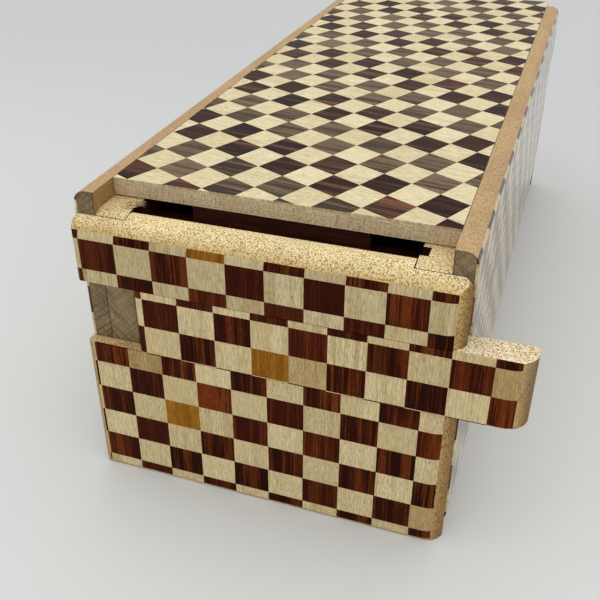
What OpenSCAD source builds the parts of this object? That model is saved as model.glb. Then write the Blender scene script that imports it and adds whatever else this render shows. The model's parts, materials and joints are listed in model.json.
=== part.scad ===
// Japanese puzzle box: a double-walled wooden box with checker veneer on every face.
// Each end is a panel that drops by one lid thickness once its sliding key is out,
// and the lid slides away over the far end once both panels are down.
// It is drawn in that unlocked state: both panels down, both keys out, the lid just started.
// Origin: centre of the box's underside. X is the width, Y the length, Z is up.

/* [Box] */
// Length over both end panels
box_l = 150; // [110:1:220]
// Width over both sides
box_w = 60.8; // [54:0.2:90]
// Height from underside to lid, with the panels up
box_h = 49.4; // [46:0.2:70]
// Thickness of each outer side, with its veneer
side_t = 3.4; // [2.8:0.1:6]
// Thickness of each inner wall, which carries the lid
inner_t = 5; // [4:0.1:8]
// Thickness of the bottom, with its veneer
bottom_t = 2.8; // [2:0.1:5]
// Thickness of the checker veneer
veneer_t = 0.4; // [0.2:0.1:0.8]

/* [End panels] */
// Full thickness of an end panel
panel_t = 5.2; // [4.4:0.1:8]
// Thickness of the lap that covers the ends of the walls
lap_t = 2.2; // [1:0.1:2.6]
// Height of the board below the key
lower_h = 26.2; // [18:0.2:28]
// Bare margin beside the lower board's veneer, away from the key's end
lower_margin = 1; // [0.4:0.1:3]
// Bare margin below that veneer
foot_margin = 0.5; // [0.2:0.1:1.5]

/* [Sliding keys] */
// Height of the slot that a key fills
key_h = 11.7; // [8:0.1:14]
// How far a key slides out
key_travel = 9.6; // [6:0.1:12]
// Thickness of the tongue that holds a key in its slot
tongue_t = 1.6; // [1:0.1:2.2]
// How far that tongue stands above and below the key
tongue_h = 1; // [0.6:0.1:2]
// Diameter of the guide peg on a key's back
peg_d = 1.5; // [1:0.1:2]
// Depth of the peg in the key
peg_seat = 2.6; // [1.5:0.1:3]

/* [Lid] */
// Thickness of the lid, with its veneer
lid_t = 2.8; // [2:0.1:5]
// Length of the runners that hold the lid down
runner_l = 20; // [12:1:40]
// Thickness of a runner's upright
runner_t = 2; // [1.4:0.1:4]
// Height of a runner's tongue
runner_tongue_h = 1.8; // [1.2:0.1:3]
// Depth of the runners below the lid
runner_drop = 5.5; // [4.8:0.1:9]

/* [Locks] */
// Thickness of the ties behind a panel
tie_t = 2.2; // [1.6:0.1:4]
// How far a tie shows inside the inner wall
tie_w = 3.4; // [2:0.1:6]
// Depth of the grooves in the inner walls
groove_d = 1.2; // [1:0.1:2.8]
// Thickness of the hook bar across the ties
hook_t = 1.2; // [0.8:0.1:2.4]
// Height of the hook bar
hook_h = 5; // [4:0.1:8]
// Thickness of the catches under the lid
catch_t = 1.2; // [0.8:0.1:2.4]
// Width of the catches
catch_w = 28; // [16:1:30]
// Thickness of the end boards of the compartment
end_t = 3; // [2.6:0.1:5]
// Depth of the peg's channel in an end board
channel_d = 2.2; // [1.4:0.1:2.4]

/* [Rounded edges] */
// Top front edge of the near panel
top_round = 4; // [1:0.1:4.2]
// Top back edge of the near panel
back_round = 1.2; // [0.2:0.1:1.6]
// Tops of the inner walls at their ends
wall_round = 4.6; // [1:0.1:4.8]
// Upright edge at the end where a key comes out
key_side_round = 3.5; // [0.6:0.1:4]
// Top corner of the near strip at that end
corner_round = 3; // [0.6:0.1:3.6]
// Upright edge of strip and key at the other end
plain_side_round = 0.8; // [0.6:0.1:3]
// Upright edge of the lower board at that end
lower_side_round = 1; // [0.6:0.1:4]
// Bottom edge of a panel and top edge of the far one
foot_round = 0.6; // [0.4:0.1:1.8]
// Outer top and bottom edges of the sides
rail_round = 2; // [0.6:0.1:2.6]

/* [Clearances] */
// Between pieces that slide past each other
slide_gap = 0.2; // [0.15:0.05:0.3]
// Between a panel's lap and the ends of the walls
lap_gap = 0.15; // [0.1:0.05:0.3]
// How much further than the lid's thickness a panel drops
drop_gap = 0.1; // [0.1:0.05:0.3]
// How far the near strip's top stays below the top of the rails
strip_low = 0.4; // [0.1:0.05:0.6]
// Above and below a key in its slot
key_gap = 0.1; // [0.1:0.05:0.2]
// Between the lid and the inner walls below it
rest_gap = 0.3; // [0.1:0.05:0.4]
// Between the lid and the rails beside it
lid_gap = 0.1; // [0.1:0.05:0.3]
// Around the peg, on each side
peg_gap = 0.15; // [0.1:0.05:0.25]

/* [Hidden] */
$fn = 48;
// Overshoot of a cut past the face it opens
cut = 1;

// Widths: inside of the outer sides, inside of the inner walls, thick part of a panel
rail_x = box_w / 2 - side_t;
room_x = rail_x - inner_t;
panel_x = room_x - slide_gap;
groove_x = room_x + groove_d;

// Depths from the front face of an end panel
wall_y = lap_t + lap_gap;
lid_y = panel_t + slide_gap;
key_y = panel_t - slide_gap;
tongue_y = key_y - tongue_t;
tie_y = panel_t + tie_t;
groove_y = panel_t - slide_gap;
hook_y = tie_y + hook_t;
end_y = hook_y + slide_gap;
room_y = end_y + end_t;

// Heights, with the panels up
lid_z = box_h - lid_t;
rest_z = lid_z - rest_gap;
slot_z = lower_h + key_h;
key_mid_z = lower_h + key_h / 2;
panel_drop = lid_t + drop_gap;
hook_z = rest_z - slide_gap;
catch_z = hook_z - panel_drop + 1.5 * slide_gap;
end_z = catch_z - 2 * slide_gap;
far_strip_z = lid_z - slide_gap;
tie_z = bottom_t + panel_drop + 1.5 * slide_gap;

// Locks: the near catch stands in front of the raised hook while the lid is shut
near_catch_y = tie_y - slide_gap - catch_t;
lid_back = catch_t + hook_t + 3 * slide_gap;
far_catch_y = box_l - hook_y - 2 * slide_gap - catch_t - lid_back;
hook_x = room_x - tie_w / 2;

// The lid opens until its runners meet the far end board
runner_y = room_y + slide_gap;
lid_open = box_l - 2 * room_y - runner_l - lid_back - 2 * slide_gap;
runner_x = room_x - slide_gap;
runner_z = lid_z - runner_drop;

// Opening of a peg's channel, and the notch that lets a key out
channel_w = peg_d + 2 * peg_gap;
notch_y = key_y + slide_gap;
notch_lo = lower_h - panel_drop - slide_gap;
notch_hi = slot_z + slide_gap;

pale = [0.84, 0.73, 0.52];
tan = [0.72, 0.60, 0.43];
grey_wood = [0.58, 0.52, 0.42];
dark = [0.24, 0.09, 0.06];
checker = [0.50, 0.35, 0.24];
bamboo = [0.80, 0.68, 0.40];

// Frames: an end's own frame has its origin on the front face of that end's panel
module at_end(far = false) {
    rotate([0, 0, far ? 180 : 0])
        translate([0, -box_l / 2, 0])
            children();
}

module lowered() {
    translate([0, 0, -panel_drop])
        children();
}

module pulled() {
    translate([key_travel, 0, 0])
        children();
}

module lid_frame() {
    translate([0, lid_back - box_l / 2, 0])
        children();
}

// A box given by its corners
module block(low, high) {
    translate(low)
        cube(high - low);
}

// Extrude a (depth, height) outline across the width
module across(x0, x1) {
    translate([x0, 0, 0])
        rotate([90, 0, 90])
            linear_extrude(x1 - x0)
                children();
}

// Extrude a (width, height) outline along the depth
module along(y0, y1) {
    translate([0, y1, 0])
        rotate([90, 0, 0])
            linear_extrude(y1 - y0)
                children();
}

// What a rounded corner at the origin takes away from the first quadrant
module corner_cut(r) {
    difference() {
        translate([-cut, -cut])
            square(r + cut);
        translate([r, r])
            circle(r);
        translate([0, r])
            square([r + cut, cut]);
        translate([r, 0])
            square([cut, r + cut]);
    }
}

// Front outline of an end piece seen from above: thin laps at the sides, thick between the inner walls
module panel_plan(thick_right, depth, left_round) {
    difference() {
        union() {
            translate([-box_w / 2, 0])
                square([box_w, lap_t]);
            translate([-panel_x, 0])
                square([panel_x + thick_right, depth]);
        }
        translate([-box_w / 2, 0])
            corner_cut(left_round);
        translate([box_w / 2, 0])
            mirror([1, 0])
                corner_cut(key_side_round);
    }
}

// Side outline of a panel board between two heights, rounded at its front edges and its top back edge
module panel_side(lo, hi, round_lo, round_hi, round_back) {
    difference() {
        translate([0, lo])
            square([panel_t, hi - lo]);
        if (round_lo > 0)
            translate([0, lo])
                corner_cut(round_lo);
        if (round_hi > 0)
            translate([0, hi])
                mirror([0, 1])
                    corner_cut(round_hi);
        if (round_back > 0)
            translate([panel_t, hi])
                mirror([1, 0])
                    mirror([0, 1])
                        corner_cut(round_back);
    }
}

// The front skin, or what is left behind it
module skin() {
    intersection() {
        children();
        block([-box_w, -cut, -box_h], [box_w, veneer_t, 2 * box_h]);
    }
}

module core() {
    intersection() {
        children();
        block([-box_w, veneer_t, -box_h], [box_w, box_l, 2 * box_h]);
    }
}

// Rebate behind a board's lip, in which a key's tongue runs
module tongue_rebate(lo, hi) {
    block([-box_w, tongue_y - slide_gap, lo], [box_w, panel_t + cut, hi]);
}

// A strip's outline seen from the front: its top corners are rounded
module strip_front(top, round_corner) {
    difference() {
        translate([-box_w / 2, slot_z])
            square([box_w, top - slot_z]);
        translate([-box_w / 2, top])
            mirror([0, 1])
                corner_cut(min(plain_side_round, round_corner));
        translate([box_w / 2, top])
            mirror([1, 0])
                mirror([0, 1])
                    corner_cut(round_corner);
    }
}

module strip_solid(top, round_top, round_back, round_corner) {
    difference() {
        intersection() {
            translate([0, 0, slot_z])
                linear_extrude(top - slot_z)
                    panel_plan(panel_x, panel_t, plain_side_round);
            across(-box_w, box_w)
                panel_side(slot_z, top, 0, round_top, round_back);
            along(-cut, panel_t + cut)
                strip_front(top, round_corner);
        }
        tongue_rebate(slot_z - cut, slot_z + tongue_h + slide_gap);
    }
}

module lower_solid() {
    difference() {
        intersection() {
            linear_extrude(lower_h)
                panel_plan(panel_x, panel_t, lower_side_round);
            across(-box_w, box_w)
                panel_side(0, lower_h, foot_round, 0, 0);
        }
        tongue_rebate(lower_h - tongue_h - slide_gap, lower_h + cut);
    }
}

// Where the lower board carries veneer
module lower_field() {
    block([lower_margin - box_w / 2, -cut, foot_margin], [box_w, veneer_t, lower_h + cut]);
}

module lower_core() {
    difference() {
        lower_solid();
        lower_field();
    }
}

module lower_skin() {
    intersection() {
        lower_solid();
        lower_field();
    }
}

// A key's front bar at home, with its tongue and the bore for its peg
module key_solid() {
    lo = lower_h + key_gap;
    hi = slot_z - key_gap;
    difference() {
        union() {
            translate([0, 0, lo])
                linear_extrude(hi - lo)
                    panel_plan(box_w / 2, key_y, plain_side_round);
            block([-panel_x + slide_gap, tongue_y, lo - tongue_h],
                  [panel_x - key_travel - slide_gap, key_y, hi + tongue_h]);
        }
        translate([-key_travel / 2, key_y - peg_seat, key_mid_z])
            rotate([-90, 0, 0])
                cylinder(d = peg_d, h = peg_seat + cut);
    }
}

module peg_solid() {
    translate([-key_travel / 2, key_y - peg_seat, key_mid_z])
        rotate([-90, 0, 0])
            cylinder(d = peg_d, h = end_y - key_y + peg_seat + channel_d - 2 * slide_gap);
}

module right_tie_solid() {
    block([room_x - tie_w, panel_t, tie_z], [groove_x - slide_gap, tie_y, hook_z]);
}

module hook_solid() {
    block([-hook_x, tie_y, hook_z - hook_h], [hook_x, hook_y, hook_z]);
}

// Straight run of a channel with round ends, between two points
module channel_run(from, to) {
    half = channel_w / 2;
    translate(from)
        circle(half);
    translate(to)
        circle(half);
    if (from[1] == to[1])
        translate([from[0], from[1] - half])
            square([to[0] - from[0], channel_w]);
    else
        translate([from[0] - half, from[1]])
            square([channel_w, to[1] - from[1]]);
}

// The C-shaped channel: the peg can change height only where the key is out
module channel_outline() {
    home = -key_travel / 2;
    out = key_travel / 2;
    low = key_mid_z - panel_drop;
    channel_run([home, low], [out, low]);
    channel_run([home, key_mid_z], [out, key_mid_z]);
    channel_run([out, low], [out, key_mid_z]);
}

module end_board_solid() {
    difference() {
        block([-room_x, end_y, bottom_t], [room_x, room_y, end_z]);
        along(end_y - cut, end_y + channel_d)
            channel_outline();
    }
}

// Outer side on the right, as one solid before its veneer is split off
module right_side_solid() {
    difference() {
        along(wall_y, box_l - wall_y)
            difference() {
                translate([rail_x, 0])
                    square([side_t, box_h]);
                translate([box_w / 2, 0])
                    mirror([1, 0])
                        corner_cut(rail_round);
                translate([box_w / 2, box_h])
                    mirror([1, 0])
                        mirror([0, 1])
                            corner_cut(rail_round);
            }
        block([rail_x - cut, wall_y - cut, notch_lo], [box_w / 2 + cut, notch_y, notch_hi]);
    }
}

module right_side_part(x0, x1) {
    at_end()
        intersection() {
            right_side_solid();
            block([x0, -cut, -cut], [x1, box_l + cut, box_h + cut]);
        }
}

// The end of a wall's top is rounded down to the lowered near strip
module wall_top_cut() {
    across(room_x - cut, rail_x + cut)
        translate([0, rest_z])
            mirror([0, 1])
                corner_cut(wall_round);
}

module right_inner_solid() {
    difference() {
        union() {
            block([room_x, wall_y, bottom_t], [rail_x, box_l - wall_y, rest_z]);
            for (y0 = [wall_y, box_l - lid_y])
                block([room_x, y0, 0], [rail_x, y0 + lid_y - wall_y, bottom_t]);
        }
        // Upright grooves for the ties of both panels
        for (y0 = [groove_y, box_l - tie_y - slide_gap])
            block([room_x - cut, y0, bottom_t], [groove_x, y0 + tie_t + 2 * slide_gap, rest_z + cut]);
        // Level groove for a runner's tongue
        block([room_x - cut, groove_y, runner_z - slide_gap],
              [groove_x, box_l - groove_y, runner_z + runner_tongue_h + slide_gap]);
        block([room_x - cut, wall_y - cut, notch_lo], [rail_x + cut, notch_y, notch_hi]);
        wall_top_cut();
        translate([0, box_l, 0])
            mirror([0, 1, 0])
                wall_top_cut();
    }
}

module right_runner_solid() {
    block([runner_x - runner_t, runner_y, runner_z], [runner_x, runner_y + runner_l, lid_z]);
    block([runner_x - runner_t, runner_y, runner_z],
          [groove_x - slide_gap, runner_y + runner_l, runner_z + runner_tongue_h]);
}

module catch_solid(y0) {
    block([-catch_w / 2, y0, catch_z], [catch_w / 2, y0 + catch_t, lid_z]);
}

// Box
module right_side_board() {
    color(tan)
        right_side_part(rail_x - cut, box_w / 2 - veneer_t);
}

module left_side_board() {
    color(tan)
        rotate([0, 0, 180])
            right_side_part(rail_x - cut, box_w / 2 - veneer_t);
}

module right_side_veneer() {
    color(checker)
        right_side_part(box_w / 2 - veneer_t, box_w / 2 + cut);
}

module left_side_veneer() {
    color(checker)
        rotate([0, 0, 180])
            right_side_part(box_w / 2 - veneer_t, box_w / 2 + cut);
}

module right_inner_wall() {
    color(grey_wood)
        at_end()
            right_inner_solid();
}

module left_inner_wall() {
    color(grey_wood)
        at_end(true)
            right_inner_solid();
}

module bottom_board() {
    color(pale)
        at_end()
            block([-rail_x, lid_y, veneer_t], [rail_x, box_l - lid_y, bottom_t]);
}

module bottom_veneer() {
    color(checker)
        at_end()
            block([-rail_x, lid_y, 0], [rail_x, box_l - lid_y, veneer_t]);
}

module near_end_board() {
    color(dark)
        at_end()
            end_board_solid();
}

module far_end_board() {
    color(dark)
        at_end(true)
            end_board_solid();
}

// Lid
module lid_board() {
    color(grey_wood)
        lid_frame()
            block([lid_gap - rail_x, lid_y, lid_z], [rail_x - lid_gap, box_l, box_h - veneer_t]);
}

module lid_veneer() {
    color(checker)
        lid_frame()
            block([lid_gap - rail_x, lid_y, box_h - veneer_t], [rail_x - lid_gap, box_l, box_h]);
}

module lid_right_runner() {
    color(dark)
        lid_frame()
            right_runner_solid();
}

module lid_left_runner() {
    color(dark)
        lid_frame()
            mirror([1, 0, 0])
                right_runner_solid();
}

module lid_near_catch() {
    color(dark)
        lid_frame()
            catch_solid(near_catch_y);
}

module lid_far_catch() {
    color(dark)
        lid_frame()
            catch_solid(far_catch_y);
}

// End panels
module near_top_strip() {
    color(pale)
        at_end() lowered()
            core() strip_solid(box_h - strip_low, top_round, back_round, corner_round);
}

module near_strip_veneer() {
    color(checker)
        at_end() lowered()
            skin() strip_solid(box_h - strip_low, top_round, back_round, corner_round);
}

module near_lower_board() {
    color(pale)
        at_end() lowered()
            lower_core();
}

module near_lower_veneer() {
    color(checker)
        at_end() lowered()
            lower_skin();
}

module near_right_tie() {
    color(dark)
        at_end() lowered()
            right_tie_solid();
}

module near_left_tie() {
    color(dark)
        at_end() lowered()
            mirror([1, 0, 0]) right_tie_solid();
}

module near_hook_bar() {
    color(dark)
        at_end() lowered()
            hook_solid();
}

module far_top_strip() {
    color(pale)
        at_end(true) lowered()
            core() strip_solid(far_strip_z, foot_round, 0, foot_round);
}

module far_strip_veneer() {
    color(checker)
        at_end(true) lowered()
            skin() strip_solid(far_strip_z, foot_round, 0, foot_round);
}

module far_lower_board() {
    color(pale)
        at_end(true) lowered()
            lower_core();
}

module far_lower_veneer() {
    color(checker)
        at_end(true) lowered()
            lower_skin();
}

module far_right_tie() {
    color(dark)
        at_end(true) lowered()
            right_tie_solid();
}

module far_left_tie() {
    color(dark)
        at_end(true) lowered()
            mirror([1, 0, 0]) right_tie_solid();
}

module far_hook_bar() {
    color(dark)
        at_end(true) lowered()
            hook_solid();
}

// Keys
module near_key_bar() {
    color(pale)
        at_end() lowered() pulled()
            core() key_solid();
}

module near_key_veneer() {
    color(checker)
        at_end() lowered() pulled()
            skin() key_solid();
}

module near_key_peg() {
    color(bamboo)
        at_end() lowered() pulled()
            peg_solid();
}

module far_key_bar() {
    color(pale)
        at_end(true) lowered() pulled()
            core() key_solid();
}

module far_key_veneer() {
    color(checker)
        at_end(true) lowered() pulled()
            skin() key_solid();
}

module far_key_peg() {
    color(bamboo)
        at_end(true) lowered() pulled()
            peg_solid();
}

right_side_board();
left_side_board();
right_side_veneer();
left_side_veneer();
right_inner_wall();
left_inner_wall();
bottom_board();
bottom_veneer();
near_end_board();
far_end_board();
lid_board();
lid_veneer();
lid_right_runner();
lid_left_runner();
lid_near_catch();
lid_far_catch();
near_top_strip();
near_strip_veneer();
near_lower_board();
near_lower_veneer();
near_right_tie();
near_left_tie();
near_hook_bar();
near_key_bar();
near_key_veneer();
near_key_peg();
far_top_strip();
far_strip_veneer();
far_lower_board();
far_lower_veneer();
far_right_tie();
far_left_tie();
far_hook_bar();
far_key_bar();
far_key_veneer();
far_key_peg();
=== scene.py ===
import json
import math
import bpy
import numpy as np
from mathutils import Matrix, Vector


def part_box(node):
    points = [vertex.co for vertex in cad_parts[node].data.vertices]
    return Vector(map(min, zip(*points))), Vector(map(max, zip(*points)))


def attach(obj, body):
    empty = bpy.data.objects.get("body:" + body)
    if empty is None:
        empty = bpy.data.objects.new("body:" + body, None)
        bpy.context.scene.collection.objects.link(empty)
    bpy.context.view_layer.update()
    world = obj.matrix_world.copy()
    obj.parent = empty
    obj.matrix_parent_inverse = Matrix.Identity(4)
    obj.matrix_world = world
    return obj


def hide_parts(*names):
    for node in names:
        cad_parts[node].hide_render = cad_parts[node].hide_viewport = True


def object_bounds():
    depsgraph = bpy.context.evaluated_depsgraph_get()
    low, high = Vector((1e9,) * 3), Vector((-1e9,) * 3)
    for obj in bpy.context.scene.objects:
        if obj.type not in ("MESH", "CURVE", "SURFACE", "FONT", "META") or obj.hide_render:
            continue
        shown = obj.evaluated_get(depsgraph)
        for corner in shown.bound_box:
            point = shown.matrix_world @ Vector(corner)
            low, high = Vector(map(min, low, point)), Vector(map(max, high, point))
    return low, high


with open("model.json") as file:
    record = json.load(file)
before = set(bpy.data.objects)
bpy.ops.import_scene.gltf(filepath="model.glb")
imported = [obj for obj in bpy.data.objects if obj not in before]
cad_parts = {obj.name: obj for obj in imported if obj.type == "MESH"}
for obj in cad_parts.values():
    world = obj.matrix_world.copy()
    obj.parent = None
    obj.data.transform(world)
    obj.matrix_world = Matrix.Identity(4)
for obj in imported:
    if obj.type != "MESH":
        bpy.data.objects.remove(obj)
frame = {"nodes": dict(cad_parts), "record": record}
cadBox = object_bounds()
nodes = frame["nodes"]
bodyMembers = frame["record"]["behaviour"]["bodies"]
bodyOf = {node: body for body, members in bodyMembers.items() for node in members}
scene = bpy.context.scene
mm = 0.001
print("stage: frame loaded,", len(nodes), "CAD nodes")


def linear(colour):
    # from a colour as seen, 0 to 255, to scene light: the sRGB curve
    c = np.asarray(colour, float) / 255.0
    return np.where(c <= 0.04045, c / 12.92, ((c + 0.055) / 1.055) ** 2.4)


def rgba(colour):
    return (*linear(colour), 1.0)


def between(ends, share):
    return ends[0] + (ends[1] - ends[0]) * share


# Camera: where the photo was taken from, looking left and down over the near end
cameraSetup = {
    "place": (0.0382, -0.1689, 0.1013),
    "azimuth": -18.71,
    "tilt": 32.22,
    "roll": 0.14,
    "focalPixels": 825.7,
    "imagePixels": 600,
    "sensor": 36.0,
    "clip": (0.005, 20.0),
}


def makeCamera(setup):
    az, el = math.radians(setup["azimuth"]), math.radians(setup["tilt"])
    forward = Vector((math.sin(az) * math.cos(el), math.cos(az) * math.cos(el), -math.sin(el)))
    right = forward.cross(Vector((0, 0, 1))).normalized()
    up = right.cross(forward)
    turn = Matrix((right, up, -forward)).transposed().to_4x4()
    roll = Matrix.Rotation(math.radians(setup["roll"]), 4, "Z")
    data = bpy.data.cameras.new("photoCamera")
    data.sensor_width = setup["sensor"]
    data.lens = setup["sensor"] * setup["focalPixels"] / setup["imagePixels"]
    data.clip_start, data.clip_end = setup["clip"]
    cam = bpy.data.objects.new("photoCamera", data)
    cam.matrix_world = Matrix.Translation(setup["place"]) @ turn @ roll
    scene.collection.objects.link(cam)
    scene.camera = cam


makeCamera(cameraSetup)


# Helpers that make meshes and shader nodes
def newMesh(name, pts, faces):
    mesh = bpy.data.meshes.new(name)
    mesh.from_pydata(pts.tolist(), [], faces)
    mesh.update()
    piece = bpy.data.objects.new(name, mesh)
    scene.collection.objects.link(piece)
    return piece


def put(tree, kind, inputs=None, **settings):
    node = tree.nodes.new("ShaderNode" + kind)
    for key, value in settings.items():
        setattr(node, key, value)
    for key, value in (inputs or {}).items():
        if isinstance(value, bpy.types.NodeSocket):
            tree.links.new(value, node.inputs[key])
        else:
            node.inputs[key].default_value = value
    return node


def calc(tree, operation, *values):
    return put(tree, "Math", dict(enumerate(values)), operation=operation).outputs[0]


def vector(tree, operation, *values):
    return put(tree, "VectorMath", dict(enumerate(values)), operation=operation).outputs[0]


def noise(tree, place, scale, detail=2.0, rough=0.5, dims="3D"):
    values = {"Vector": place, "Scale": scale, "Detail": detail, "Roughness": rough}
    return put(tree, "TexNoise", values, noise_dimensions=dims).outputs["Fac"]


def ramp(tree, value, low, high, start=0.0, end=1.0):
    values = {"Value": value, "From Min": low, "From Max": high, "To Min": start, "To Max": end}
    return put(tree, "MapRange", values, interpolation_type="SMOOTHSTEP").outputs["Result"]


def blend(tree, factor, one, other, kind="MIX"):
    values = {0: factor, 6: one, 7: other}  # 6 and 7 are the Mix node's colour inputs, 2 its colour output
    return put(tree, "Mix", values, data_type="RGBA", blend_type=kind).outputs[2]


def shade(tree, colour, value):
    return put(tree, "VectorMath", {0: colour, "Scale": value}, operation="SCALE").outputs[0]


def millimetres(tree, place):
    return vector(tree, "MULTIPLY", place, (1 / mm, 1 / mm, 1 / mm))


# Studio: pale sheet under the box, darker towards the back by painted shade, soft sky that is a little
# brighter overhead, one large weak lamp
studio = {
    "floorNear": (224, 224, 221),
    "floorFarShade": (204, 204, 203),
    "floorFade": (-0.10, 0.20),
    "floorRadius": 4.0,
    "floorRough": 0.7,
    "skyColour": (246, 249, 252),
    "skyDim": 0.78,
    "skyBright": 0.98,
    "skyToward": (-0.12, 0.08, 0.97),
    "skyRange": (-0.6, 1.0),
    "backColour": (216, 217, 218),
    "lampPlace": (0.10, -0.05, 0.95),
    "lampSize": 1.0,
    "lampPower": 1.8,
    "lampColour": (255, 250, 242),
}


def makeSky(setup):
    # the camera and mirror-like rays see one even grey instead of the sky that lights the box
    world = bpy.data.worlds.new("softSky")
    scene.world = world
    world.use_nodes = True
    tree = world.node_tree
    tree.nodes.clear()
    path = put(tree, "LightPath").outputs
    seen = calc(tree, "MAXIMUM", path["Is Camera Ray"], path["Is Glossy Ray"])
    seen = calc(tree, "MAXIMUM", seen, path["Is Transmission Ray"])
    sides = {0: put(tree, "TexCoord").outputs["Generated"], 1: setup["skyToward"]}
    toward = put(tree, "VectorMath", sides, operation="DOT_PRODUCT").outputs["Value"]
    low, high = setup["skyRange"]
    span = {"Value": toward, "From Min": low, "From Max": high,
            "To Min": setup["skyDim"], "To Max": setup["skyBright"]}
    level = put(tree, "MapRange", span).outputs["Result"]
    sky = put(tree, "Background", {"Color": rgba(setup["skyColour"]), "Strength": level})
    back = put(tree, "Background", {"Color": rgba(setup["backColour"]), "Strength": 1.0})
    mix = put(tree, "MixShader", {0: seen, 1: sky.outputs[0], 2: back.outputs[0]})
    put(tree, "OutputWorld", {"Surface": mix.outputs[0]})


def makeLamp(setup):
    data = bpy.data.lights.new("softLamp", "AREA")
    data.shape = "DISK"
    data.size = setup["lampSize"]
    data.energy = setup["lampPower"]
    data.color = tuple(linear(setup["lampColour"]))
    lamp = bpy.data.objects.new("softLamp", data)
    lamp.location = setup["lampPlace"]
    lamp.rotation_euler = (-Vector(setup["lampPlace"])).to_track_quat("-Z", "Y").to_euler()
    scene.collection.objects.link(lamp)


def discSurface(radius, z, rings=24, spokes=64, hub=0.02):
    # point(a, b) = (r cos b, r sin b, z) with r = radius a^2
    a = np.linspace(hub, 1, rings)[:, None] ** 2
    b = np.linspace(0, 2 * np.pi, spokes, endpoint=False)[None, :]
    pts = np.stack([radius * a * np.cos(b), radius * a * np.sin(b), np.full((rings, spokes), z)], -1)
    i, j = np.meshgrid(np.arange(rings - 1), np.arange(spokes), indexing="ij")
    k = (j + 1) % spokes
    inner, outer = i * spokes, (i + 1) * spokes
    quads = np.stack([inner + j, outer + j, outer + k, inner + k], -1)
    return pts.reshape(-1, 3), quads.reshape(-1, 4).tolist() + [list(range(spokes))]


def makeFloor(setup):
    floor = newMesh("floor", *discSurface(setup["floorRadius"], cadBox[0].z))
    mat = bpy.data.materials.new("paleSheet")
    mat.use_nodes = True
    tree = mat.node_tree
    bsdf = tree.nodes["Principled BSDF"]
    y = put(tree, "SeparateXYZ", {0: put(tree, "TexCoord").outputs["Object"]}).outputs[1]
    # painted shade: the sheet fades to its darker far colour towards the back
    fade = ramp(tree, y, *setup["floorFade"])
    colour = blend(tree, fade, rgba(setup["floorNear"]), rgba(setup["floorFarShade"]))
    tree.links.new(colour, bsdf.inputs["Base Color"])
    bsdf.inputs["Roughness"].default_value = setup["floorRough"]
    floor.data.materials.append(mat)


makeSky(studio)
makeLamp(studio)
makeFloor(studio)
scene.view_settings.view_transform = "Standard"
print("stage: camera, light and floor")


# Shared finishes as node groups
def newGroup(name, inputs):
    # inputs lists the socket names of each kind; both groups give a colour, a roughness and a height
    tree = bpy.data.node_groups.new(name, "ShaderNodeTree")
    for kind, labels in inputs.items():
        for label in labels:
            tree.interface.new_socket(label, in_out="INPUT", socket_type="NodeSocket" + kind)
    for label, kind in (("Color", "Color"), ("Roughness", "Float"), ("Height", "Float")):
        tree.interface.new_socket(label, in_out="OUTPUT", socket_type="NodeSocket" + kind)
    return tree, tree.nodes.new("NodeGroupInput").outputs, tree.nodes.new("NodeGroupOutput").inputs


# Figure of the inlaid woods, from four layers of noise
figureSetup = {
    # layers: features per millimetre across and along the fibres, detail, roughness
    "bands": (0.6, 0.025, 1.0, 0.5),
    "lines": (3.6, 0.07, 2.0, 0.6),
    "threads": (5.5, 0.45, 2.0, 0.6),
    "pores": (9.0, 1.1, 1.0, 0.5),
    "bandShare": 0.5,
    "coverMiddle": 0.5,
    "coverGain": 0.3,
    "streakFrom": (0.41, 0.63),
    "threadFrom": (0.25, 0.75),
    "threadLight": (0.81, 1.18),
    "poreFrom": (0.50, 0.72),
    "poreDepth": 2.0,
    "roughFrom": (0.2, 0.8),
    "rough": (0.50, 0.36),
}


def makeInlayFigure(setup):
    # Grain holds millimetres across and along the fibres, so every layer is stretched along them
    inputs = {"Vector": ["Grain"], "Color": ["Base", "Streak"], "Float": ["Figure", "Pores"]}
    tree, given, result = newGroup("inlayFigure", inputs)

    def layer(name):
        across, along, detail, rough = setup[name]
        place = vector(tree, "MULTIPLY", given["Grain"], (across, along, 0))
        return noise(tree, place, 1.0, detail, rough, "2D")

    bands, lines, threads = layer("bands"), layer("lines"), layer("threads")
    pores = calc(tree, "MULTIPLY", ramp(tree, layer("pores"), *setup["poreFrom"]), given["Pores"])
    broad = calc(tree, "MULTIPLY", bands, setup["bandShare"])
    narrow = calc(tree, "MULTIPLY", lines, 1 - setup["bandShare"])
    cover = calc(tree, "SUBTRACT", given["Figure"], setup["coverMiddle"])
    cover = calc(tree, "MULTIPLY", cover, setup["coverGain"])
    figure = calc(tree, "ADD", calc(tree, "ADD", broad, narrow), cover)
    colour = blend(tree, ramp(tree, figure, *setup["streakFrom"]), given["Base"], given["Streak"])
    fibre = ramp(tree, threads, *setup["threadFrom"], *setup["threadLight"])
    light = calc(tree, "MULTIPLY", fibre, calc(tree, "SUBTRACT", 1.0, pores))
    height = calc(tree, "SUBTRACT", lines, calc(tree, "MULTIPLY", pores, setup["poreDepth"]))
    tree.links.new(shade(tree, colour, light), result["Color"])
    tree.links.new(ramp(tree, lines, *setup["roughFrom"], *setup["rough"]), result["Roughness"])
    tree.links.new(height, result["Height"])
    return tree


# Grain of the bare boards: scales per millimetre, and the ranges in which a noise becomes flecks or marks
grainSetup = {
    "toneScale": 0.22,
    "toneDetail": 3.0,
    "toneFrom": (0.3, 0.7),
    "toneLight": (0.92, 1.06),
    "fleckFrom": (0.48, 0.64),
    "glintFrom": (0.46, 0.34),
    "sawScale": (0.06, 1.0, 1.5),
    "sawDetail": 1.0,
    "sawLevel": 0.5,
    "sawFrom": (0.06, 0.01),
    "sawStrengths": (1.0, 0.7),
    "sawDark": 0.45,
    "edgeScale": 1.1,
    "edgeWander": 0.5,
    "edgeFrom": (0.48, 0.22),
    "roughFrom": (0.3, 0.7),
    "rough": (0.62, 0.78),
}


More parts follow.
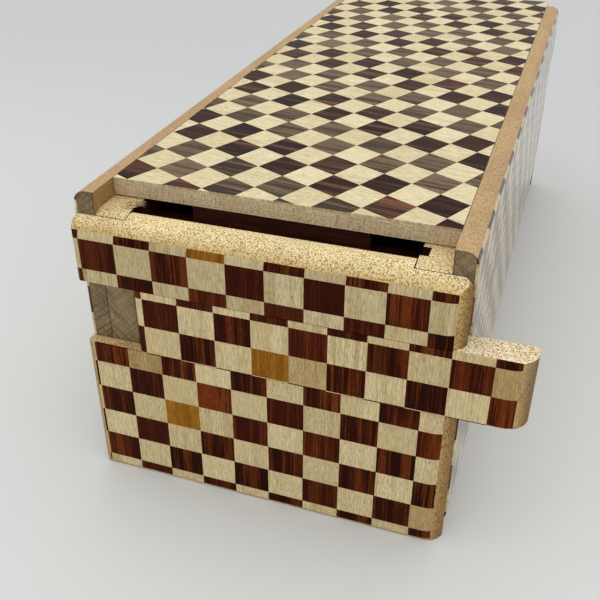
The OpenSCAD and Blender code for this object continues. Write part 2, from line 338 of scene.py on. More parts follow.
def makeBoardGrain(setup):
    # Place is in millimetres; Stretch squeezes it along the fibres, so flecks are round on end grain only
    inputs = {
        "Vector": ["Place", "Shift", "Stretch", "SawTurn", "Low", "High"],
        "Color": ["Base", "Fleck", "Pale", "EndTone", "SideToneAndShade", "EdgeTone", "DarkenTone"],
        "Float": ["Fineness", "Amount", "LongAmount", "EndMask", "Saw", "Edge", "Darken"],
    }
    tree, given, result = newGroup("boardGrain", inputs)
    place = vector(tree, "ADD", given["Place"], given["Shift"])
    place = vector(tree, "MULTIPLY", place, given["Stretch"])
    tone = noise(tree, place, setup["toneScale"], setup["toneDetail"])
    tone = ramp(tree, tone, *setup["toneFrom"], *setup["toneLight"])
    cells = noise(tree, place, given["Fineness"])
    amount = ramp(tree, given["EndMask"], 0.0, 1.0, given["LongAmount"], 1.0)
    amount = calc(tree, "MULTIPLY", given["Amount"], amount)
    fleck = calc(tree, "MULTIPLY", ramp(tree, cells, *setup["fleckFrom"]), amount)
    glint = calc(tree, "MULTIPLY", ramp(tree, cells, *setup["glintFrom"]), amount)
    colour = blend(tree, glint, blend(tree, fleck, given["Base"], given["Fleck"]), given["Pale"])

    # saw marks cross each other on the end grain: thin lines where a stretched noise is at its middle
    marks = []
    turns = (given["SawTurn"], vector(tree, "MULTIPLY", given["SawTurn"], (-1, -1, -1)))
    for turn, strength in zip(turns, setup["sawStrengths"]):
        values = {"Vector": given["Place"], "Rotation": turn}
        turned = put(tree, "VectorRotate", values, rotation_type="EULER_XYZ").outputs[0]
        line = noise(tree, vector(tree, "MULTIPLY", turned, setup["sawScale"]), 1.0, setup["sawDetail"])
        off = calc(tree, "ABSOLUTE", calc(tree, "SUBTRACT", line, setup["sawLevel"]))
        marks.append(ramp(tree, off, *setup["sawFrom"], 0.0, strength))
    saw = calc(tree, "MULTIPLY", given["Saw"], given["EndMask"])
    saw = calc(tree, "MULTIPLY", calc(tree, "MAXIMUM", *marks), saw)

    # the middle one of three distances to the board's faces is that to its edges, where it is rubbed; on
    # the lower boards the darker edges are also painted contact shade at the foot
    near = vector(tree, "SUBTRACT", given["Place"], given["Low"])
    far = vector(tree, "SUBTRACT", given["High"], given["Place"])
    x, y, z = put(tree, "SeparateXYZ", {0: vector(tree, "MINIMUM", near, far)}).outputs
    edge = calc(tree, "MINIMUM", calc(tree, "MAXIMUM", x, y), z)
    edge = calc(tree, "MAXIMUM", calc(tree, "MINIMUM", x, y), edge)
    wander = calc(tree, "MULTIPLY", noise(tree, given["Place"], setup["edgeScale"]), setup["edgeWander"])
    edgeWearAndShade = ramp(tree, calc(tree, "ADD", edge, wander), *setup["edgeFrom"])
    edgeWearAndShade = calc(tree, "MULTIPLY", edgeWearAndShade, given["Edge"])

    # faces other than end grain take the darker side tint, partly painted shade
    sideToneAndShade = blend(tree, 1.0, colour, given["SideToneAndShade"], "MULTIPLY")
    ended = blend(tree, 1.0, colour, given["EndTone"], "MULTIPLY")
    wood = blend(tree, given["EndMask"], sideToneAndShade, ended)
    wood = blend(tree, edgeWearAndShade, wood, given["EdgeTone"])
    # Darken mixes in a darker tone: painted shade on the rails' inner faces and on faces that turn left or
    # right, a darker red on the walls' inner faces
    darkened = blend(tree, 1.0, wood, given["DarkenTone"], "MULTIPLY")
    wood = blend(tree, given["Darken"], wood, darkened)
    light = calc(tree, "SUBTRACT", 1.0, calc(tree, "MULTIPLY", saw, setup["sawDark"]))
    light = calc(tree, "MULTIPLY", tone, light)
    height = calc(tree, "SUBTRACT", calc(tree, "SUBTRACT", 1.0, fleck), saw)
    tree.links.new(shade(tree, wood, light), result["Color"])
    tree.links.new(ramp(tree, cells, *setup["roughFrom"], *setup["rough"]), result["Roughness"])
    tree.links.new(height, result["Height"])
    return tree


inlayFigure = makeInlayFigure(figureSetup)
boardGrain = makeBoardGrain(grainSetup)


def newMaterial(name, setup):
    mat = bpy.data.materials.new(name)
    mat.use_nodes = True
    tree = mat.node_tree
    tree.nodes.clear()
    bsdf = put(tree, "BsdfPrincipled")
    put(tree, "OutputMaterial", {"Surface": bsdf.outputs[0]})
    bsdf.inputs["Specular IOR Level"].default_value = setup["shine"]
    bsdf.inputs["Coat Weight"].default_value = setup["coat"]
    bsdf.inputs["Coat Roughness"].default_value = setup["coatRough"]
    return mat, tree, bsdf


def dress(tree, bsdf, group, setup):
    tree.links.new(group.outputs["Color"], bsdf.inputs["Base Color"])
    tree.links.new(group.outputs["Roughness"], bsdf.inputs["Roughness"])
    height, relief = group.outputs["Height"], setup["relief"] * mm
    bump = put(tree, "Bump", {"Height": height, "Strength": setup["bump"], "Distance": relief})
    tree.links.new(bump.outputs[0], bsdf.inputs["Normal"])


# Checker veneer: rows of small squares, sawn, glued and shaved into thin sheets
inlay = {
    "thick": 0.4,  # this and the other lengths are in millimetres
    "bed": 0.02,  # how far the sheet sinks into the board
    "groove": 0.025,
    "grooveHalf": 0.035,
    "settle": 0.02,
    "rowShift": 0.07,
    "squareShift": 0.05,
    "bendLines": 5,
    "bendPower": 1.5,
    "weld": 0.001,
    "nudge": 0.0001,
    "sliver": 0.01,  # rows thinner than this are left out
    "spareRows": 2,  # beyond the sheet's furthest corner
    "toneBias": 1.6,
    "coverSpread": (-0.2, 0.2),
    "poreSpread": (0.6, 1.4),
    "grainJump": (60.0, 300.0),  # from square to square, across and along the fibres
    "rimTone": (198, 177, 138),
    "rimShare": 0.85,
    "rimFacing": 0.3,
    "shine": 0.03,
    "coat": 0.0,
    "coatRough": 0.25,
    "bump": 0.12,
    "relief": 0.05,
}

# The sides are polished by the hand that holds the box, and the lid is satin
polish = {"coat": 0.85, "coatRough": 0.10, "bump": 0.10}
satin = {"shine": 0.06, "bump": 0.10}

# Tones of the squares: two ends of a range for wood and for streaks, streak cover, pores (pale below 0)
squareTones = {
    "cream": ((220, 200, 154), (204, 182, 136), (188, 164, 117), (208, 186, 140), 0.50, 0.26),
    "ivory": ((236, 221, 180), (224, 206, 162), (214, 194, 148), (230, 212, 169), 0.45, 0.20),
    "rosewood": ((36, 9, 3), (60, 18, 7), (80, 34, 11), (112, 53, 17), 0.41, -0.60),
    "ebony": ((36, 17, 12), (54, 29, 20), (80, 47, 33), (122, 78, 55), 0.34, -0.45),
    "walnut": ((130, 107, 82), (114, 94, 72), (56, 42, 31), (80, 63, 48), 0.50, 0.20),
    # tan squares are the wood's own tone, except those by the rounded right ends, which are painted shade
    "tan": ((190, 162, 112), (174, 147, 99), (160, 132, 85), (178, 150, 102), 0.50, 0.22),
    "ochre": ((160, 107, 31), (148, 97, 30), (124, 76, 17), (140, 88, 22), 0.42, 0.20),
}
toneOf = {name: k for k, name in enumerate(squareTones)}

# What each chance number of a square decides; the last one decides its pores too
diceCount = 8
baseDie, streakDie, coverDie, acrossDie, alongDie, settleDie, rowDie, cutDie = range(diceCount)

# Faces of the box: the face's right, up and outward directions
faceFrames = {
    "near": ((1, 0, 0), (0, 0, 1), (0, -1, 0)),
    "far": ((-1, 0, 0), (0, 0, 1), (0, 1, 0)),
    "right": ((0, 1, 0), (0, 0, 1), (1, 0, 0)),
    "left": ((0, -1, 0), (0, 0, 1), (-1, 0, 0)),
    "top": ((1, 0, 0), (0, 1, 0), (0, 0, 1)),
    "under": ((-1, 0, 0), (0, 1, 0), (0, 0, -1)),
}

# Sheets: each has a lattice of squares, which starts at a corner of one of them
plainSheet = {
    "turn": 0,  # angle of the lattice
    "grain": 90,  # angle of the fibres
    "rounds": (0, 0, 0, 0),  # radii of the left, lower, right and upper edges
    "ochre": (),  # squares of other woods, by column and row
    "tan": (),
    "tone": 1.0,  # light of the whole sheet
}
stripLattice = {"start": (-29.19, 37.3), "pitch": (6.015, 5.2)}
keyLattice = {"start": (-19.42, 28.6), "pitch": (5.995, 5.08), "rounds": (0.8, 0, 3.5, 0)}
lowerLattice = {"start": (-29.12, 19.7), "pitch": (6.006, 5.115), "rounds": (0, 0, 3.5, 0)}
sideLattice = {"start": (-69.0, 22.5), "pitch": (6.0, 5.06), "rounds": (0, 2.0, 0, 2.0),
               "notch": (2.85, 23.1, 38.1)}  # opening for a key at the left edge: depth, low and high end
turnedLattice = {"pitch": (5.385, 5.853), "turn": -25.5, "grain": -9}
sheetPlans = {
    "nearStripSheet": {**stripLattice, "node": "near_strip_veneer", "face": "near", "seed": 11,
                       "rounds": (0.8, 0, 3.5, 4.0), "ochre": ((3, 1),), "tone": 0.95},
    "nearKeySheet": {**keyLattice, "node": "near_key_veneer", "face": "near", "seed": 12,
                     # the tan square in column 9, by the rounded right end, is painted shade
                     "ochre": ((3, -1),), "tan": ((9, 0), (4, -1))},
    "nearLowerSheet": {**lowerLattice, "node": "near_lower_veneer", "face": "near", "seed": 13,
                       # the tan square in column 9, by the rounded right end, is painted shade
                       "ochre": ((2, -2),), "tan": ((1, 0), (9, -4))},
    "farStripSheet": {**stripLattice, "node": "far_strip_veneer", "face": "far", "seed": 21,
                      "rounds": (0.8, 0, 3.5, 0.6), "ochre": ((6, 0),)},
    "farKeySheet": {**keyLattice, "node": "far_key_veneer", "face": "far", "seed": 22,
                    "ochre": ((7, 0),)},
    "farLowerSheet": {**lowerLattice, "node": "far_lower_veneer", "face": "far", "seed": 23,
                      "ochre": ((5, -1), (8, -4))},
    "rightSideSheet": {**sideLattice, "node": "right_side_veneer", "face": "right", "seed": 31,
                       "ochre": ((4, 1), (15, -2), (20, 3))},
    "leftSideSheet": {**sideLattice, "node": "left_side_veneer", "face": "left", "seed": 32,
                      "ochre": ((8, 2), (13, -3))},
    "lidSheet": {**turnedLattice, "node": "lid_veneer", "face": "top", "seed": 41,
                 "start": (7.256, -62.233)},
    "underSheet": {**turnedLattice, "node": "bottom_veneer", "face": "under", "seed": 42,
                   "start": (0.0, -68.0)},
}


def edgeInset(r):
    # where a rounded edge has shaved the veneer away: r - sqrt(2 r t - t^2)
    t = inlay["thick"]
    return r - math.sqrt(2 * r * t - t * t) if r > t else 0.0


def edgeDepth(d, r):
    # depth below the face at distance d from a rounded edge: r - sqrt(r^2 - (r - d)^2)
    reach = np.clip(r - d, 0, r)
    return r - np.sqrt(r * r - reach * reach)


def bendLines(plan, solid):
    # lines that follow the rounded edges, closer together towards the outside
    steps = np.linspace(0, 1, inlay["bendLines"])[1:] ** inlay["bendPower"]
    bend = [between((edgeInset(r), r), steps) if r else np.zeros(0) for r in plan["rounds"]]
    s = np.concatenate([solid[0] + bend[0], solid[2] - bend[2]]) - plan["start"][0]
    w = np.concatenate([solid[1] + bend[1], solid[3] - bend[3]]) - plan["start"][1]
    return s, w


def thinned(lines, low, high):
    # sorted lines between two ends, without any that nearly meet
    weld = inlay["weld"]
    lines = np.sort(lines[(lines > low + weld) & (lines < high - weld)])
    lines = np.concatenate([[low], lines, [high]])
    return lines[np.concatenate([[True], np.diff(lines) > weld])]


def rowSurface(plan, block, cuts, bends, j):
    # point(s, w) = start + s e1 + w e2: s runs along a row of squares, between the block's edges at w
    a0, b0, a1, b1 = np.array(block) - np.tile(plan["start"], 2)
    turn = math.radians(plan["turn"])
    c, n = math.cos(turn), math.sin(turn)
    cornerW = np.array([b0 * c - a0 * n, b0 * c - a1 * n, b1 * c - a1 * n, b1 * c - a0 * n])
    low = max(j * plan["pitch"][1], cornerW.min())
    high = min((j + 1) * plan["pitch"][1], cornerW.max())
    if high - low < inlay["sliver"]:
        return None
    half = inlay["grooveHalf"]
    sLines = np.sort(np.concatenate([cuts - half, cuts, cuts + half, bends[0]]))
    wLines = [cornerW, bends[1], [low + half, high - half]]
    if plan["turn"]:
        wLines += [(sLines * c - a0) / n, (sLines * c - a1) / n]
        wLines += [(b0 - sLines * n) / c, (b1 - sLines * n) / c]
    w = thinned(np.concatenate(wLines), low, high)
    lo, hi = (a0 + w * n) / c, (a1 + w * n) / c
    if plan["turn"]:
        one, other = (b0 - w * c) / n, (b1 - w * c) / n
        lo, hi = np.maximum(lo, np.minimum(one, other)), np.minimum(hi, np.maximum(one, other))
    s = np.clip(sLines[None, :], lo[:, None], np.maximum(lo, hi)[:, None])

    # points of a row that meet become one, so that cells at a slanting edge are triangles or nothing
    fresh = np.ones(s.shape, bool)
    fresh[:, 1:] = np.diff(s, axis=1) > inlay["weld"]
    ids = np.cumsum(fresh.ravel()).reshape(s.shape) - 1
    grid = np.stack([s[fresh], np.broadcast_to(w[:, None], s.shape)[fresh]], -1)
    cells = np.stack([ids[:-1, :-1], ids[:-1, 1:], ids[1:, 1:], ids[1:, :-1]], -1).reshape(-1, 4)
    flatLow, flatHigh = cells[:, 0] == cells[:, 1], cells[:, 2] == cells[:, 3]
    quads = cells[~flatLow & ~flatHigh]
    upper, lower = cells[flatLow & ~flatHigh], cells[~flatLow & flatHigh]
    return grid, quads, np.concatenate([upper[:, [0, 2, 3]], lower[:, [0, 1, 2]]])


def closeSheet(quads, tris, count):
    # front faces, the same faces turned over on the back, and a rim around their outline
    pairs = [faces[:, [k, (k + 1) % n]] for faces, n in ((quads, 4), (tris, 3)) for k in range(n)]
    edges = np.concatenate(pairs)
    forth, back = edges[:, 0] * count + edges[:, 1], edges[:, 1] * count + edges[:, 0]
    rim = edges[~np.isin(forth, back)]
    sides = np.stack([rim[:, 0] + count, rim[:, 1] + count, rim[:, 1], rim[:, 0]], -1)
    quads = np.concatenate([quads, quads[:, ::-1] + count, sides])
    return quads, np.concatenate([tris, tris[:, ::-1] + count])


def sheetSurface(plan, axes, box, solid, top, dice):
    # point = a right + b up + height out, row by row; every face knows the column and row of its square
    right, up, out = axes
    a0, b0, a1, b1 = box
    blocks = [box]
    if "notch" in plan:
        depth, low, high = plan["notch"]
        blocks = [(a0 + depth, b0, a1, b1), (a0, b0, a0 + depth, low), (a0, high, a0 + depth, b1)]
    turn = math.radians(plan["turn"])
    lattice = np.array([[math.cos(turn), math.sin(turn)], [-math.sin(turn), math.cos(turn)]])
    bends = bendLines(plan, solid)
    many = len(dice) // 2
    points, quadList, triList, quadSquare, triSquare = [], [], [], [], []
    total = 0
    for j in range(-many, many):
        rowDice = dice[j + many]
        shift = inlay["rowShift"] * (2 * rowDice[0, rowDie] - 1)
        cuts = np.arange(-many, many) * plan["pitch"][0] + shift
        cuts = cuts + inlay["squareShift"] * (2 * rowDice[:, cutDie] - 1)
        for block in blocks:
            row = rowSurface(plan, block, cuts, bends, j)
            if row is None:
                continue
            grid, quads, tris = row
            count = len(grid)
            quads, tris = closeSheet(quads, tris, count)
            a, b = (grid @ lattice + plan["start"]).T
            gaps = (a - solid[0], b - solid[1], solid[2] - a, solid[3] - b)
            depth = np.max([edgeDepth(d, r) for d, r in zip(gaps, plan["rounds"])], axis=0)
            gapS = np.abs(grid[:, :1] - cuts[None, :]).min(1)
            rows = grid[:, 1] / plan["pitch"][1]
            gapW = np.abs(rows - np.round(rows)) * plan["pitch"][1]
            groove = inlay["groove"] * np.clip(1 - np.minimum(gapS, gapW) / inlay["grooveHalf"], 0, 1)
            square = np.searchsorted(cuts, grid[:, 0] + inlay["nudge"]) - 1
            settle = inlay["settle"] * rowDice[np.clip(square, 0, 2 * many - 1), settleDie]
            front = top - np.minimum(depth + groove + settle, inlay["thick"] + inlay["bed"] / 2)
            back = np.full(count, top - inlay["thick"] - inlay["bed"])
            for height in (front, back):
                points.append(np.outer(a, right) + np.outer(b, up) + np.outer(height, out))
            sAll = np.tile(grid[:, 0], 2)
            for faces, kept, squares in ((quads, quadList, quadSquare), (tris, triList, triSquare)):
                column = np.searchsorted(cuts, sAll[faces].mean(1)) - 1 - many
                squares.append(np.stack([column, np.full(len(faces), j)], -1))
                kept.append(faces + total)
            total += 2 * count
    i, j = np.concatenate(quadSquare + triSquare).T
    return np.concatenate(points), np.concatenate(quadList), np.concatenate(triList), i, j


def squareKinds(plan, i, j):
    # straight sheets are dark where i + j is even, and turned ones are light there
    even = (i + j) % 2 == 0
    if plan["turn"]:
        dark = np.where(np.mod(j, 4) >= 2, toneOf["walnut"], toneOf["ebony"])  # by turns, two rows each
        return np.where(even, toneOf["ivory"], dark)
    kinds = np.where(even, toneOf["rosewood"], toneOf["cream"])
    for tone in ("ochre", "tan"):
        for column, row in plan[tone]:
            kinds = np.where((i == column) & (j == row), toneOf[tone], kinds)
    return kinds


def squareLooks(plan, kinds, roll, rim):
    # wood, streaks, streak cover and pores of each face, by its square's kind and chance numbers
    tones = np.array([values[:4] for values in squareTones.values()], float)
    baseLow, baseHigh, streakLow, streakHigh = tones[kinds].transpose(1, 0, 2)
    base = between((baseLow, baseHigh), roll[:, baseDie, None] ** inlay["toneBias"])
    streak = between((streakLow, streakHigh), roll[:, streakDie, None])
    base[rim] = between((base[rim], np.array(inlay["rimTone"])), inlay["rimShare"])
    streak[rim] = base[rim]
    cover, pores = np.array([values[4:] for values in squareTones.values()])[kinds].T
    cover = cover + between(inlay["coverSpread"], roll[:, coverDie])
    pores = pores * between(inlay["poreSpread"], roll[:, cutDie])
    return base * plan["tone"], streak * plan["tone"], cover, pores


def makeSheet(name, plan):
    right, up, out = axes = [np.array(v, float) for v in faceFrames[plan["face"]]]
    ends = np.array(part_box(plan["node"])) / mm
    a0, a1 = sorted(ends @ right)
    b0, b1 = sorted(ends @ up)
    insets = [edgeInset(r) for r in plan["rounds"]]
    solid = (a0 - insets[0], b0 - insets[1], a1 + insets[2], b1 + insets[3])
    x, y = plan["start"]
    reach = max(np.hypot(a - x, b - y) for a in (a0, a1) for b in (b0, b1))
    many = int(reach / min(plan["pitch"])) + inlay["spareRows"]
    rng = np.random.default_rng(plan["seed"])
    dice = rng.random((2 * many, 2 * many, diceCount))
    surface = sheetSurface(plan, axes, (a0, b0, a1, b1), solid, (ends @ out).max(), dice)
    points, quads, tris, i, j = surface
    piece = newMesh(name, points * mm, quads.tolist() + tris.tolist())
    mesh = piece.data

    # only the turned sheets show a rim, which is rubbed to one tone
    roll = dice[j + many, i + many]
    rim = np.zeros(len(i), bool)
    if plan["turn"]:
        facing = np.empty(3 * len(i), "f")
        mesh.polygons.foreach_get("normal", facing)
        rim = np.abs(facing.reshape(-1, 3) @ out) < inlay["rimFacing"]
    base, streak, cover, pores = squareLooks(plan, squareKinds(plan, i, j), roll, rim)
    for label, values in (("baseTone", linear(base)), ("streakTone", linear(streak))):
        colours = np.concatenate([values, np.ones((len(values), 1))], 1).astype("f")
        mesh.attributes.new(label, "FLOAT_COLOR", "FACE").data.foreach_set("color", colours.ravel())
    for label, values in (("figure", cover), ("pores", pores)):
        mesh.attributes.new(label, "FLOAT", "FACE").data.foreach_set("value", values.astype("f"))

    # grain holds millimetres across and along the fibres, with a jump from square to square
    turn = math.radians(plan["grain"])
    along = right * math.cos(turn) + up * math.sin(turn)
    across = -right * math.sin(turn) + up * math.cos(turn)
    loops = np.concatenate([quads.ravel(), tris.ravel()])
    sides = np.concatenate([np.full(len(quads), 4), np.full(len(tris), 3)])
    grain = np.stack([points[loops] @ across, points[loops] @ along], -1)
    grain += np.repeat(roll[:, [acrossDie, alongDie]] * inlay["grainJump"], sides, axis=0)
    mesh.uv_layers.new(name="grain").data.foreach_set("uv", grain.astype("f").ravel())
    mesh.materials.append(veneers.get(plan["face"], veneers["near"]))
    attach(piece, bodyOf[plan["node"]])
    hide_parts(plan["node"])


def makeCheckerVeneer(name, setup):
    mat, tree, bsdf = newMaterial(name, setup)
    values = {"Grain": put(tree, "UVMap", uv_map="grain").outputs[0]}
    for label, socket, output in (("baseTone", "Base", "Color"), ("streakTone", "Streak", "Color"),
                                  ("figure", "Figure", "Fac"), ("pores", "Pores", "Fac")):
        values[socket] = put(tree, "Attribute", attribute_name=label).outputs[output]
    dress(tree, bsdf, put(tree, "Group", values, node_tree=inlayFigure), setup)
    return mat


veneers = {
    "near": makeCheckerVeneer("checkerVeneer", inlay),
    "left": makeCheckerVeneer("polishedVeneer", {**inlay, **polish}),
    "top": makeCheckerVeneer("satinVeneer", {**inlay, **satin}),
}
veneers["right"] = veneers["left"]
for name, plan in sheetPlans.items():
    makeSheet(name, {**plainSheet, **plan})
print("stage: checker veneer,", len(sheetPlans), "sheets")

# Boards: bare woods of the solids, with flecks that stretch along the fibres
boardFinish = {"shine": 0.2, "coat": 0.0, "coatRough": 0.3, "bump": 0.25, "relief": 0.08}
plainBoard = {
    "grain": None,  # axis of the fibres, None for the longest
    "end": (255, 255, 255),  # tint of the end grain
    "sideToneAndShade": (255, 255, 255),  # tint of the other faces: their grain's tone, and painted shade where they turn away from the top
    "endFrom": (0.6, 0.9),  # how squarely a face has to look along the fibres to count as end grain
    "longAmount": 0.85,  # flecks on the other faces, as a share of amount
    "saw": 0.0,
    "sawTurn": 0,
    "edge": 0.0,
    "edgeTone": (255, 255, 255),
    "edgeOnEnds": False,
}
ends = ("near", "far")
darkEndings = ("end_board", "_runner", "_catch", "_tie", "hook_bar")
boardWoods = {
    # the strip, key and lower boards carry painted shade on faces that turn left or right
    "stripWood": {"nodes": [end + "_top_strip" for end in ends], "grain": 2, "stretch": 0.55,
                  "base": (242, 219, 164), "fleck": (166, 128, 68), "pale": (255, 245, 204),
                  "fineness": 4.5, "amount": 0.95, "sideToneAndShade": (222, 206, 176), "endFrom": (0.35, 0.92),
                  "flankShade": (160, 143, 121)},
    "keyWood": {"nodes": [end + "_key_bar" for end in ends], "grain": 2, "stretch": 0.55,
                "base": (247, 228, 186), "fleck": (166, 122, 78), "pale": (255, 248, 216),
                "fineness": 4.1, "amount": 1.0, "longAmount": 0.5, "sideToneAndShade": (202, 184, 154),
                "endFrom": (0.15, 0.40), "flankShade": (180, 172, 168)},
    # the lower boards' darker edges are wear, and at the foot painted contact shade
    "lowerWood": {"nodes": [end + "_lower_board" for end in ends], "grain": 2, "stretch": 0.50,
                  "base": (226, 198, 144), "fleck": (162, 118, 66), "pale": (240, 218, 168),
                  "fineness": 4.0, "amount": 0.9, "end": (244, 238, 228), "sideToneAndShade": (212, 198, 174),
                  "edge": 0.45, "edgeTone": (148, 128, 96), "flankShade": (196, 187, 183)},
    "bottomWood": {"nodes": ["bottom_board"], "grain": 1, "stretch": 0.09,
                   "base": (222, 198, 148), "fleck": (190, 155, 105), "pale": (232, 212, 168),
                   "fineness": 1.6, "amount": 0.6, "end": (200, 190, 180), "saw": 0.3, "sawTurn": 40},
    "railWood": {"nodes": ["right_side_board", "left_side_board"], "grain": 1, "stretch": 0.50,
                 "base": (194, 161, 117), "fleck": (150, 114, 75), "pale": (206, 175, 131),
                 "fineness": 3.6, "amount": 0.4, "longAmount": 1.4, "end": (184, 187, 191),
                 "saw": 1.0, "sawTurn": 42, "edge": 0.7, "edgeTone": (92, 78, 62), "edgeOnEnds": True,
                 # the rails' inner faces are darkened: painted shade
                 "innerDarken": {"reach": 27.3, "behind": 73.5, "tone": (214, 200, 174)}},
    "wallWood": {"nodes": ["right_inner_wall", "left_inner_wall"], "grain": 1, "stretch": 0.60,
                 "base": (230, 206, 156), "fleck": (166, 128, 76), "pale": (246, 228, 182),
                 "fineness": 4.3, "amount": 0.36, "longAmount": 2.5, "end": (168, 162, 156),
                 "saw": 1.0, "sawTurn": -44, "edge": 0.7, "edgeTone": (92, 78, 62), "edgeOnEnds": True,
                 # the walls' inner faces inside the box are a darker red
                 "innerDarken": {"reach": 23.4, "behind": 71.5, "tone": (84, 36, 34)}},
    "lidWood": {"nodes": ["lid_board"], "grain": 1, "stretch": 0.25,
                "base": (232, 210, 168), "fleck": (190, 164, 124), "pale": (244, 226, 188),
                "fineness": 3.0, "amount": 0.8, "end": (228, 225, 223), "saw": 0.3, "sawTurn": 84,
                "edge": 0.35, "edgeTone": (238, 222, 186)},
    "darkWood": {"nodes": [node for node in nodes if node.endswith(darkEndings)], "stretch": 0.09,
                 "base": (60, 20, 12), "fleck": (38, 12, 8), "pale": (84, 32, 18),
                 "fineness": 1.8, "amount": 0.8, "end": (190, 180, 175), "saw": 0.2, "sawTurn": 40,
                 "edge": 0.2, "edgeTone": (112, 54, 32)},
    "pegBamboo": {"nodes": ["near_key_peg", "far_key_peg"], "stretch": 0.09,
                  "base": (204, 176, 108), "fleck": (160, 122, 62), "pale": (222, 198, 132),
                  "fineness": 4.0, "amount": 0.8, "end": (190, 180, 165)},
}

# How softly the darkening inside the box and the painted shade on the boards' left and right faces begin
softness = {
    "innerDarkenFacing": (0.7, 0.4),
    "innerDarkenCrest": (0.5, 0.9),  # this and the next two are in millimetres
    "innerDarkenReach": 0.2,
    "innerDarkenBehind": 1.0,
    "flankShadeFacing": (0.3, 1.0),
}
boardShift = np.array((17.0, 31.0, 23.0))  # from board to board, so that no two have the same flecks


def innerDarkenMask(tree, innerDarken, place, facing, crest):
    # faces that look up at the board's crest keep their colour; the others inside the box are darkened
    x, y, z = put(tree, "SeparateXYZ", {0: vector(tree, "ABSOLUTE", place)}).outputs
    low, high = softness["innerDarkenCrest"]
    below = ramp(tree, z, crest - low, crest - high)
    below = calc(tree, "MAXIMUM", ramp(tree, facing[2], *softness["innerDarkenFacing"]), below)
    inner = ramp(tree, x, innerDarken["reach"], innerDarken["reach"] - softness["innerDarkenReach"])
    hidden = ramp(tree, y, innerDarken["behind"], innerDarken["behind"] - softness["innerDarkenBehind"])
    return calc(tree, "MULTIPLY", calc(tree, "MULTIPLY", inner, below), hidden)


def makeBoardWood(name, setup, node, shift):
    low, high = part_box(node)
    size = high - low
    axis = max(range(3), key=lambda k: size[k]) if setup["grain"] is None else setup["grain"]
    mat, tree, bsdf = newMaterial(name, boardFinish)
    spot = put(tree, "TexCoord").outputs
    place = millimetres(tree, spot["Object"])
    facing = put(tree, "SeparateXYZ", {0: spot["Normal"]}).outputs
    ended = ramp(tree, calc(tree, "ABSOLUTE", facing[axis]), *setup["endFrom"])
    values = {
        "Place": place,
        "EndMask": ended,
        "Shift": shift,
        "Low": low / mm,
        "High": high / mm,
        "Stretch": [setup["stretch"] if k == axis else 1.0 for k in range(3)],
        "SawTurn": (0, math.radians(setup["sawTurn"]), 0),
        "Edge": calc(tree, "MULTIPLY", ended, setup["edge"]) if setup["edgeOnEnds"] else setup["edge"],
    }
    for label, key in (("Base", "base"), ("Fleck", "fleck"), ("Pale", "pale"), ("EndTone", "end"),
                       ("SideToneAndShade", "sideToneAndShade"), ("EdgeTone", "edgeTone")):
        values[label] = rgba(setup[key])
    for label, key in (("Fineness", "fineness"), ("Amount", "amount"), ("LongAmount", "longAmount"),
                       ("Saw", "saw")):
        values[label] = setup[key]
    if "innerDarken" in setup:
        values["Darken"] = innerDarkenMask(tree, setup["innerDarken"], place, facing, high.z / mm)
        values["DarkenTone"] = rgba(setup["innerDarken"]["tone"])
    # painted shade: faces that turn left or right are darker than those lit from above
    if "flankShade" in setup:
        values["Darken"] = ramp(tree, calc(tree, "ABSOLUTE", facing[0]), *softness["flankShadeFacing"])
        values["DarkenTone"] = rgba(setup["flankShade"])
    dress(tree, bsdf, put(tree, "Group", values, node_tree=boardGrain), boardFinish)
    return mat


madeWoods = 0
for wood, setup in boardWoods.items():
    for node in setup["nodes"]:
        madeWoods += 1
        mat = makeBoardWood(wood + "." + node, {**plainBoard, **setup}, node, boardShift * madeWoods)
        for holder in nodes[node].material_slots:
            holder.link = "OBJECT"
            holder.material = mat
print("stage: bare woods on", madeWoods, "boards")

# Torn fibres: splinters left where the saw broke out of the left wall's upright groove
fibres = {
    "seed": 5,
    "bow": 0.4,  # how far a fibre bends aside in a tuft that reaches as far as bowReach
    "bowReach": 3.4,
    "thick": (0.08, 0.16),
    "taper": 0.75,
    "flatness": 0.6,
    "height": (46.24, 46.44),  # on the wall's top
    "colour": (232, 210, 162),
    "shadeColour": (178, 146, 96),
    "mottle": 2.2,
    "mottleFrom": (0.4, 0.62),
    "rough": 0.7,
    "tufts": (  # turnNear and turnFar are the angles at the nearest and the furthest roots
        {"count": 50, "roots": ((-24.0, -69.0), (-22.6, -67.5)), "reach": (0.8, 2.5),
         "turnNear": (0.0, 75.0), "turnFar": (-30.0, 60.0)},
        {"count": 44, "roots": ((-23.8, -70.6), (-22.4, -69.9)), "reach": (0.6, 2.0),
         "turnNear": (60.0, 110.0), "turnFar": (42.0, 100.0)},
    ),
}


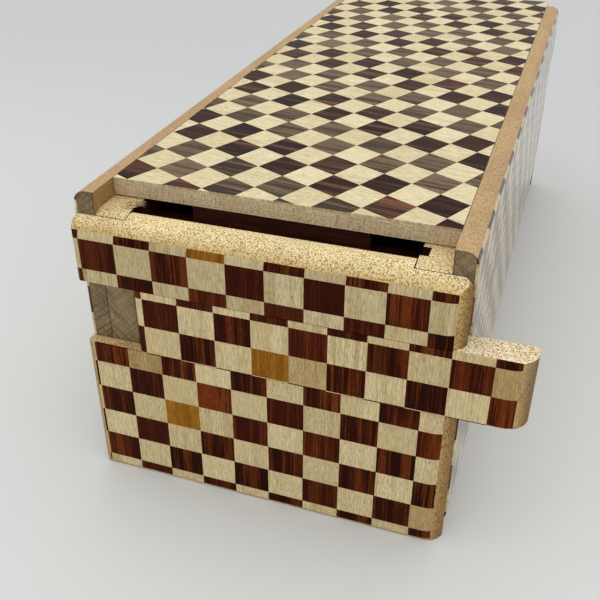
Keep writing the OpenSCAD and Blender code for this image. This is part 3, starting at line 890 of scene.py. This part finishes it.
def fibreSurface(setup, tuft, seed, rings=13, sides=6):
    # point(u, v) = root + reach u (cos t, sin t, 0) + (bow sin(pi u) + r cos v) (-sin t, cos t, 0)
    # + flatness r sin v (0, 0, 1), with r = thick / 2 (1 - taper u)
    rng = np.random.default_rng(seed)
    dice = rng.random((tuft["count"], 7, 1, 1))
    turnDie, thickDie, bowDie, reachDie, xDie, yDie, zDie = dice.swapaxes(0, 1)
    u = np.linspace(0, 1, rings)[None, :, None]
    v = np.linspace(0, 2 * np.pi, sides, endpoint=False)[None, None, :]
    (x0, y0), (x1, y1) = tuft["roots"]
    turns = [between(pair, yDie) for pair in zip(tuft["turnNear"], tuft["turnFar"])]
    t = np.radians(between(turns, turnDie))
    r = between(setup["thick"], thickDie) / 2 * (1 - setup["taper"] * u)
    run = between(tuft["reach"], reachDie) * u
    bow = setup["bow"] * tuft["reach"][1] / setup["bowReach"] * (2 * bowDie - 1)
    away = bow * np.sin(np.pi * u) + r * np.cos(v)
    x = between((x0, x1), xDie) + run * np.cos(t) - away * np.sin(t)
    y = between((y0, y1), yDie) + run * np.sin(t) + away * np.cos(t)
    z = between(setup["height"], zDie) + setup["flatness"] * r * np.sin(v)
    pts = np.stack(np.broadcast_arrays(x, y, z), -1)
    ids = np.arange(pts[..., 0].size).reshape(pts.shape[:3])
    turned = np.roll(ids, -1, axis=2)
    quads = np.stack([turned[:, :-1], turned[:, 1:], ids[:, 1:], ids[:, :-1]], -1).reshape(-1, 4)
    caps = np.concatenate([ids[:, 0, ::-1], ids[:, -1]])
    return pts.reshape(-1, 3) * mm, quads, caps


def makeFibres(setup):
    points, faces, total = [], [], 0
    for k, tuft in enumerate(setup["tufts"]):
        pts, quads, caps = fibreSurface(setup, tuft, setup["seed"] + k)
        points.append(pts)
        faces += (quads + total).tolist() + (caps + total).tolist()
        total += len(pts)
    piece = newMesh("tornFibres", np.concatenate(points), faces)
    mat, tree, bsdf = newMaterial("tornFibre", boardFinish)
    place = millimetres(tree, put(tree, "TexCoord").outputs["Object"])
    mask = ramp(tree, noise(tree, place, setup["mottle"]), *setup["mottleFrom"])
    colour = blend(tree, mask, rgba(setup["colour"]), rgba(setup["shadeColour"]))
    tree.links.new(colour, bsdf.inputs["Base Color"])
    bsdf.inputs["Roughness"].default_value = setup["rough"]
    piece.data.materials.append(mat)
    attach(piece, bodyOf["left_inner_wall"])


makeFibres(fibres)
print("stage: torn fibres,", len(fibres["tufts"]), "tufts")
